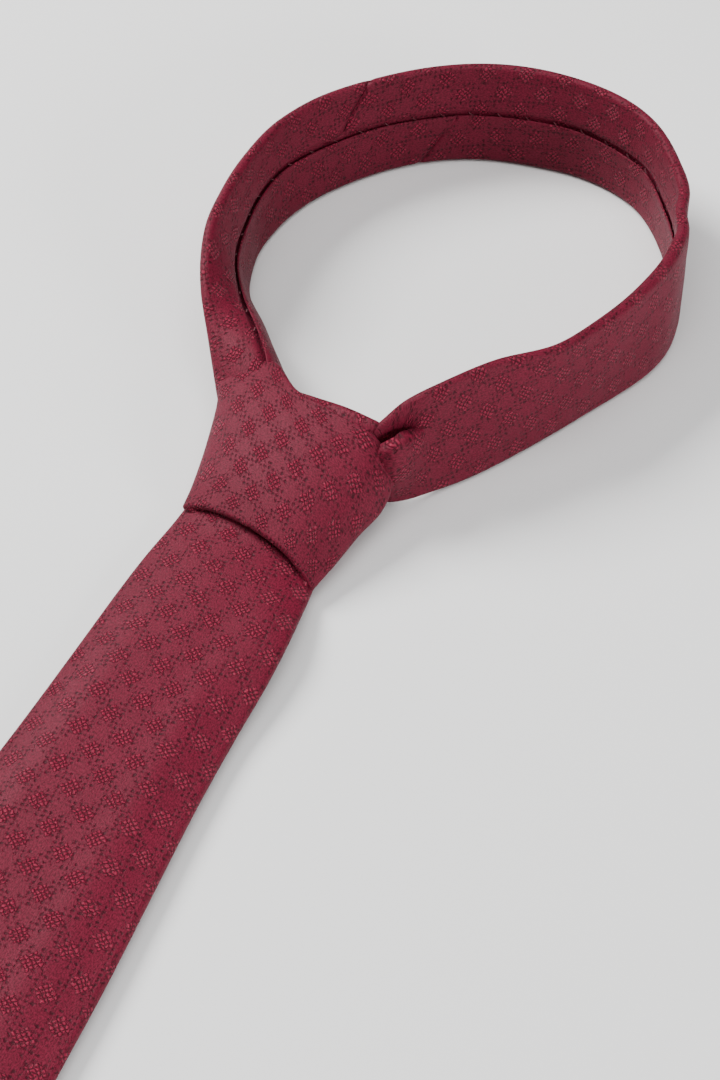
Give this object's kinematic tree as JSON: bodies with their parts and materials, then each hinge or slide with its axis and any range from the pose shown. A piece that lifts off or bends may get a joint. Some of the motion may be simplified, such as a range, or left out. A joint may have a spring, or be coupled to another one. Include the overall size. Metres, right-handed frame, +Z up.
{
  "type": "necktie",
  "caption": "Tied four-in-hand necktie lying face up: knot, standing neck loop, wide pointed blade with a keeper loop, and narrow tail.",
  "frame": {"origin": "bottom centre of the tied tie's bounding box, on the surface it lies on", "axes": "+Y along the tie from the blade's tip to the back of the neck loop, +Z up, out of the tie's front face, +X to the wearer's left side of the loop"},
  "size_m": [0.1338, 0.6618, 0.0354],
  "materials": {
    "shell_cloth": "satin jacquard, tonal houndstooth",
    "interlining_wool": "brushed wool blend",
    "tipping_lining": "plain satin lining",
    "thread": "sewing thread"
  },
  "bodies": {
    "knot": {"knot_back_wrap": "shell_cloth", "knot_front_wrap": "shell_cloth", "knot_blade_pass": "shell_cloth", "knot_first_cross": "shell_cloth", "knot_tail_pass": "shell_cloth", "knot_over_top_pass": "shell_cloth", "neck_root_left": "shell_cloth", "neck_root_right": "shell_cloth"},
    "neck_loop": {"neck_shell_left": "shell_cloth", "neck_shell_right": "shell_cloth", "neck_interlining_left": "interlining_wool", "neck_interlining_right": "interlining_wool", "neck_slip_stitch": "thread"},
    "blade": {"blade_shell": "shell_cloth", "blade_interlining": "interlining_wool", "blade_tipping": "tipping_lining", "blade_slip_stitch": "thread", "blade_bar_tack": "thread", "keeper_loop": "shell_cloth", "keeper_tacks": "thread"},
    "tail": {"tail_shell": "shell_cloth", "tail_interlining": "interlining_wool", "tail_tipping": "tipping_lining", "tail_slip_stitch": "thread", "tail_bar_tack": "thread"}
  },
  "joints": [
    {"name": "blade_lift", "type": "hinge", "parent": "knot", "child": "blade", "pos_m": [-0.0107, 0.1211, 0.009], "axis": [-1, 0, 0], "range_deg": [0, 60]},
    {"name": "neck_loop_tilt", "type": "hinge", "parent": "knot", "child": "neck_loop", "pos_m": [-0.0107, 0.1851, 0.036], "axis": [1, 0, 0], "range_deg": [0, 30]},
    {"name": "tail_pull", "type": "slide", "parent": "knot", "child": "tail", "axis": [0, -1, 0], "range_m": [0, 0.04]}
  ]
}
